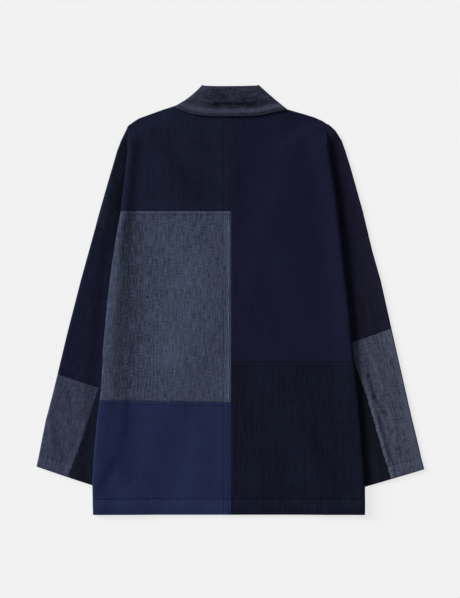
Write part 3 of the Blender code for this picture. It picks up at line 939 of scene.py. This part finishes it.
# The collar
# A band of heathered cotton folded double. It lies across the back of the neck, turns under itself at its
# two slanted folds and runs down the front edges beneath the jacket.
COLLAR_HEIGHT = 56
COLLAR_SAG_AT_SEAM = 14.8  # how far the band hangs below a straight line
COLLAR_SAG_AT_TOP = 1
COLLAR_SAG = (
    # part of the way across, share of the sag there
    (0, 0), (0.04, 0.24), (0.085, 0.45), (0.15, 0.72), (0.2, 0.84), (0.245, 0.9), (0.33, 0.93),
    (0.42, 0.91), (0.5, 0.87), (0.6, 0.83), (0.7, 0.77), (0.75, 0.7), (0.8, 0.57), (0.85, 0.4),
    (0.9, 0.22), (0.95, 0.09), (1, 0),
)
COLLAR_UNDER = 14  # how far it reaches under itself
COLLAR_SEWING = 0.07  # share of the way up where it is stitched on
BAND_LENGTHS = 3  # the band's length over its height, for its creases
COLLAR_SHADING = (
    # share of the way up the band, and its painted light and shade there: lighter on the roll's ridge,
    # darker in the valleys
    (0, 0.0), (0.04, 0.3), (0.09, -0.2), (0.14, 0.7), (0.2, 0.6), (0.25, 0.2), (0.3, -0.4), (0.4, -0.7),
    (0.5, -0.5), (0.58, -0.1), (0.64, -0.2), (0.7, -0.6), (0.76, -0.6), (0.83, -0.1), (0.9, 0.0),
    (1, 0.2),
)
COLLAR_CREASES = (
    # from the part of the width, from the share of the height, to the part, to the share, half height, rise
    (0.05, 0.62, 0.45, 0.58, 0.05, -0.5),
    (0.4, 0.74, 0.95, 0.7, 0.05, 0.4),
    (0.1, 0.85, 0.6, 0.88, 0.06, -0.35),
    (0.3, 0.45, 0.8, 0.42, 0.05, -0.6),
    (0.55, 0.56, 0.9, 0.6, 0.04, -0.4),
)


def collar_cloth():
    """Grey-blue cotton whose yarns are dyed unevenly, so that it looks speckled along and across."""
    cloth = Cloth("collar heather")
    warp = cloth.streaks(1.6, 9, 21)
    weft = cloth.streaks(16, 1.6, 22)
    cloudy = cloth.streaks(20, 10, 23)
    tone = 0.5 + warp * 0.9 + weft * 1.2 + cloudy * 0.5
    # The colour takes the band's painted light and shade, and its wear.
    colour = cloth.colours((tone + cloth.wear_and_shade * 0.45).between(0, 1), (12, 14, 26), (56, 58, 75))
    return cloth.made(colour, warp + weft, 0.5)


heather = collar_cloth()
share = np.linspace(0, 1, 42)
part = np.linspace(0, 1, 80)
left_x, left_y, left_out = collar_fold(LEFT, share)
right_x, right_y, right_out = collar_fold(RIGHT, share)
share = share[:, None]
height = read_off(COLLAR_RISE, share)
sag = mix(COLLAR_SAG_AT_SEAM, COLLAR_SAG_AT_TOP, share)
across = mix(left_x, right_x, part)
up = mix(left_y, right_y, part) - sag * read_off(COLLAR_SAG, part)
lengths = np.broadcast_to(part * BAND_LENGTHS, across.shape)
creases = [(p0 * BAND_LENGTHS, s0, p1 * BAND_LENGTHS, *rest) for p0, s0, p1, *rest in COLLAR_CREASES]
above_sewing = (share - COLLAR_SEWING) * COLLAR_HEIGHT
small = folds(creases, lengths, share) + dip(above_sewing, 0.35, 1.4)
small = small + puckers(across, above_sewing, 9, 8, 0.2, 1)
small = small * ease(part / 0.04) * ease((1 - part) / 0.04)
# Creases are darkened with painted shade, and the band is made lighter towards both ends.
lighter_ends = 0.8 * ease((-25 - across) / 35) + 0.4 * ease((across - 50) / 25)
collar_shading_and_tone = read_off(COLLAR_SHADING, share) + small + lighter_ends * ease((share - 0.1) / 0.2)
middle = np.dstack([across, up, height + small, across, collar_shading_and_tone])
collar_seam = np.column_stack([across[3], up[3]])
low = BAND_CLOTH / 2
turned = []
for side, x, y, out, top in (
    (LEFT, left_x, left_y, left_out, middle[:, :1, 2]),
    (RIGHT, right_x, right_y, right_out, middle[:, -1:, 2]),
):
    rolled = roll(x, y, top, low, out[None], x, side, 8)
    end = np.dstack([x, y - COLLAR_UNDER, 0 * x + low, rolled[:, -1:, 3] + side * COLLAR_UNDER, 0 * x])
    turned.append(joined(rolled, end))
points = joined(turned[0][:, ::-1], middle, turned[1])
wall("collar_back", points, share * COLLAR_HEIGHT, heather, BAND_CLOTH)

for side, word in SIDES:
    share = np.linspace(0, 1, 16)
    band_x, band_y, _ = collar_fold(side, share)
    across, start = band_x.T, band_y.T - COLLAR_UNDER
    upper = mix(start, YOKE_SEAM, np.linspace(0, 1, 14)[:, None])
    up = on_to_hem(upper, 49)
    across = np.broadcast_to(across, up.shape)
    height = BAND_CLOTH / 2 + LIFT_OVER_SLEEVE * over_sleeve(side, across, up)
    points = np.dstack([across, up, height, across, 0 * up])
    wall(f"collar_front_{word}", points, up, heather, BAND_CLOTH)

# The sewing
# Rows of topstitching in cotton thread: two down the centre back, one or two along each other felled seam,
# one round hem, cuffs, armholes, sleeve patches and collar. Each stitch is a short bead sunk into the cloth.
STITCH = 2.7
STITCH_GAP = 1.0
THREAD = 0.6
THREAD_RISE = 0.12  # how far it is lifted out of the cloth, as a share of THREAD
CENTRE_ROWS = (-2.9, -8.6)
PATH_POINTS = 60
ABOVE = 60  # a height over the whole jacket


def thread_finish(name, dark, light):
    """Matt cotton thread, dyed unevenly."""
    thread = Finish(name)
    place = thread.node("TexCoord", {}, ()).output("Object")
    noise = thread.node("TexNoise", {}, {"Vector": place, "Scale": 260.0, "Detail": 1.0})
    return thread.made(thread.colours(noise.between(0.3, 0.7), dark, light), noise, 0.1)


def stitches(name, node, paths, thread):
    """Stitches along paths of across and up, on the upper face of the cloth that stands for a node."""
    cloth = bpy.data.objects[f"{node}_cloth"]
    surface = BVHTree.FromObject(cloth, bpy.context.evaluated_depsgraph_get())
    bead = bmesh.new()
    bmesh.ops.create_uvsphere(bead, u_segments=6, v_segments=5, radius=0.5)
    shape = np.array([tuple(v.co) for v in bead.verts])[:, (2, 0, 1)]
    shape = shape * (STITCH * MM, THREAD * MM, THREAD * MM)
    faces = [np.array([v.index for v in f.verts]) for f in bead.faces]
    bead.free()
    points, polygons = [], []
    for path in paths:
        path = np.array(path, float)
        reach = np.append(0, np.cumsum(np.linalg.norm(np.diff(path, axis=0), axis=1)))
        for at in np.arange(STITCH / 2, reach[-1], STITCH + STITCH_GAP):
            ends = []
            for end in (at - STITCH / 2, at + STITCH / 2):
                x, y = (np.interp(end, reach, path[:, k]) for k in (0, 1))
                hit, normal, _, _ = surface.ray_cast(Vector((x, y, ABOVE)) * MM, Vector((0, 0, -1)))
                if hit is None:
                    break
                ends.append((np.array(hit), np.array(normal)))
            if len(ends) < 2:
                continue
            run = ends[1][0] - ends[0][0]
            run = run / np.linalg.norm(run)
            out = ends[0][1] + ends[1][1]
            out = out / np.linalg.norm(out)
            beside = np.cross(out, run)
            middle = (ends[0][0] + ends[1][0]) / 2 + out * THREAD_RISE * THREAD * MM
            first = sum(len(p) for p in points)
            points.append(middle + shape[:, :1] * run + shape[:, 1:2] * beside + shape[:, 2:] * out)
            polygons += [tuple(f + first) for f in faces]
    data = bpy.data.meshes.new(name)
    data.from_pydata(np.concatenate(points).tolist(), [], polygons)
    data.shade_smooth()
    data.materials.append(thread)
    piece = added(name, data)
    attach(piece, "root")


def level_path(up, start, end, lean=False):
    """A path across the back: level, or along the leaning seam and so far from it."""
    across = np.linspace(start, end, PATH_POINTS)
    return np.column_stack([across, lower_left_seam(across) + up if lean else 0 * across + up])


def centre_path(row, top, bottom):
    return (CENTRE_ROWS[row], top), (CENTRE_ROWS[row], bottom)


pale_thread = thread_finish("pale thread", (112, 116, 130), (150, 154, 166))
grey_thread = thread_finish("grey thread", (40, 44, 58), (58, 62, 78))
indigo_thread = thread_finish("indigo thread", (20, 23, 38), (32, 35, 54))
navy_thread = thread_finish("navy thread", (28, 35, 64), (40, 49, 82))

yoke_rows = [centre_path(row, 326, YOKE_SEAM + 1) for row in (0, 1)]
stitches("stitches_yoke", "back_yoke_left", yoke_rows, indigo_thread)
middle_rows = [centre_path(row, YOKE_SEAM - 1, LOWER_SEAM_LEFT - 1) for row in (0, 1)]
stitches("stitches_middle_pale", "back_middle_left", middle_rows[:1], pale_thread)
middle_rows += [level_path(YOKE_SEAM - FELL + SEWN_IN, -3, -196), level_path(1.6, -3, -230, lean=True)]
stitches("stitches_middle_grey", "back_middle_left", middle_rows[1:], grey_thread)
navy_rows = [centre_path(row, LOWER_SEAM_LEFT - 4, HEM + 1) for row in (0, 1)]
navy_rows += [level_path(-FELL + SEWN_IN, -3, -232, lean=True), level_path(HEM + HEM_TURN - 1, 0, -243)]
stitches("stitches_navy", "back_lower_left", navy_rows, navy_thread)
right_rows = [level_path(LOWER_SEAM_RIGHT - inset, 4, 214) for inset in (SEWN_IN, FELL - SEWN_IN)]
right_rows += [level_path(HEM + HEM_TURN - 1, 4, 238)]
stitches("stitches_lower_right", "back_lower_right", right_rows, indigo_thread)
for side, word in SIDES:
    patch_at, length = sleeve_lengths(side)
    rows = np.array([3.2, patch_at + 2.2, length - CUFF_TURN + 1])
    sections = sleeve_sections(side, rows, lambda away: 0 * away)
    across, up = sections.place(np.linspace(0, SHOWN_WIDTH, 50)[None] + 0 * sections.width)
    armhole, patch, cuff = (np.column_stack([across[k], up[k]]) for k in range(3))
    stitches(f"stitches_armhole_{word}", f"sleeve_upper_{word}", [armhole], indigo_thread)
    stitches(f"stitches_patch_{word}", f"sleeve_patch_{word}", [patch, cuff], grey_thread)
    stitches(f"stitches_strip_{word}", f"sleeve_strip_{word}", [cuff], indigo_thread)
stitches("stitches_collar", "collar_back", [collar_seam], grey_thread)

# The table, the light and the camera
# The jacket lies on a plain pale table. A broad soft light rakes over it from the left and above, and the
# camera looks straight down from three metres. Sizes here are in metres.
TABLE_HALF = 40
TABLE_GREY = 0.15  # a low value and a glow of its own keep the shadows on it weak
TABLE_GLOW = 0.728
LIGHT_FROM = (-1.0, 0.6)  # across and up
LIGHT_ELEVATION = 23  # degrees
LIGHT_STRENGTH = 5.6
LIGHT_SPREAD = 28
AROUND = 0.36  # an even light from all round
CLOTH_LEVEL = 0.008
CAMERA_HEIGHT = 3.0  # over the cloth
FRAME_LENGTH = 1.0764  # what the picture's long side takes in there
CAMERA_UP = 0.0012
SENSOR = 36.0

table = bmesh.new()
bmesh.ops.create_grid(table, x_segments=1, y_segments=1, size=TABLE_HALF)
table_data = bpy.data.meshes.new("table")
table.to_mesh(table_data)
table.free()
paint = {
    "Base Color": (TABLE_GREY, TABLE_GREY, TABLE_GREY, 1),
    "Roughness": 1.0,
    "Specular IOR Level": 0.0,
    "Emission Color": (1, 1, 1, 1),
    "Emission Strength": TABLE_GLOW,
}
table_data.materials.append(Finish("pale table", paint).material)
floor = added("table", table_data)

light = bpy.data.lights.new("key", "SUN")
light.energy = LIGHT_STRENGTH
light.angle = np.radians(LIGHT_SPREAD)
lamp = added("key", light)
flat = np.array(LIGHT_FROM) / np.hypot(*LIGHT_FROM)
rise = np.radians(LIGHT_ELEVATION)
source = Vector((flat[0] * np.cos(rise), flat[1] * np.cos(rise), np.sin(rise)))
lamp.rotation_mode = "QUATERNION"
lamp.rotation_quaternion = source.to_track_quat("Z", "Y")

world = bpy.data.worlds.new("studio")
world.use_nodes = True
background = world.node_tree.nodes["Background"]
background.inputs["Color"].default_value = (1, 1, 1, 1)
background.inputs["Strength"].default_value = AROUND
bpy.context.scene.world = world
bpy.context.scene.view_settings.view_transform = "Standard"

camera_data = bpy.data.cameras.new("camera")
camera_data.sensor_width = SENSOR
camera_data.lens = SENSOR * CAMERA_HEIGHT / FRAME_LENGTH
camera = added("camera", camera_data)
camera.location = (0, CAMERA_UP, CLOTH_LEVEL + CAMERA_HEIGHT)
bpy.context.scene.camera = camera
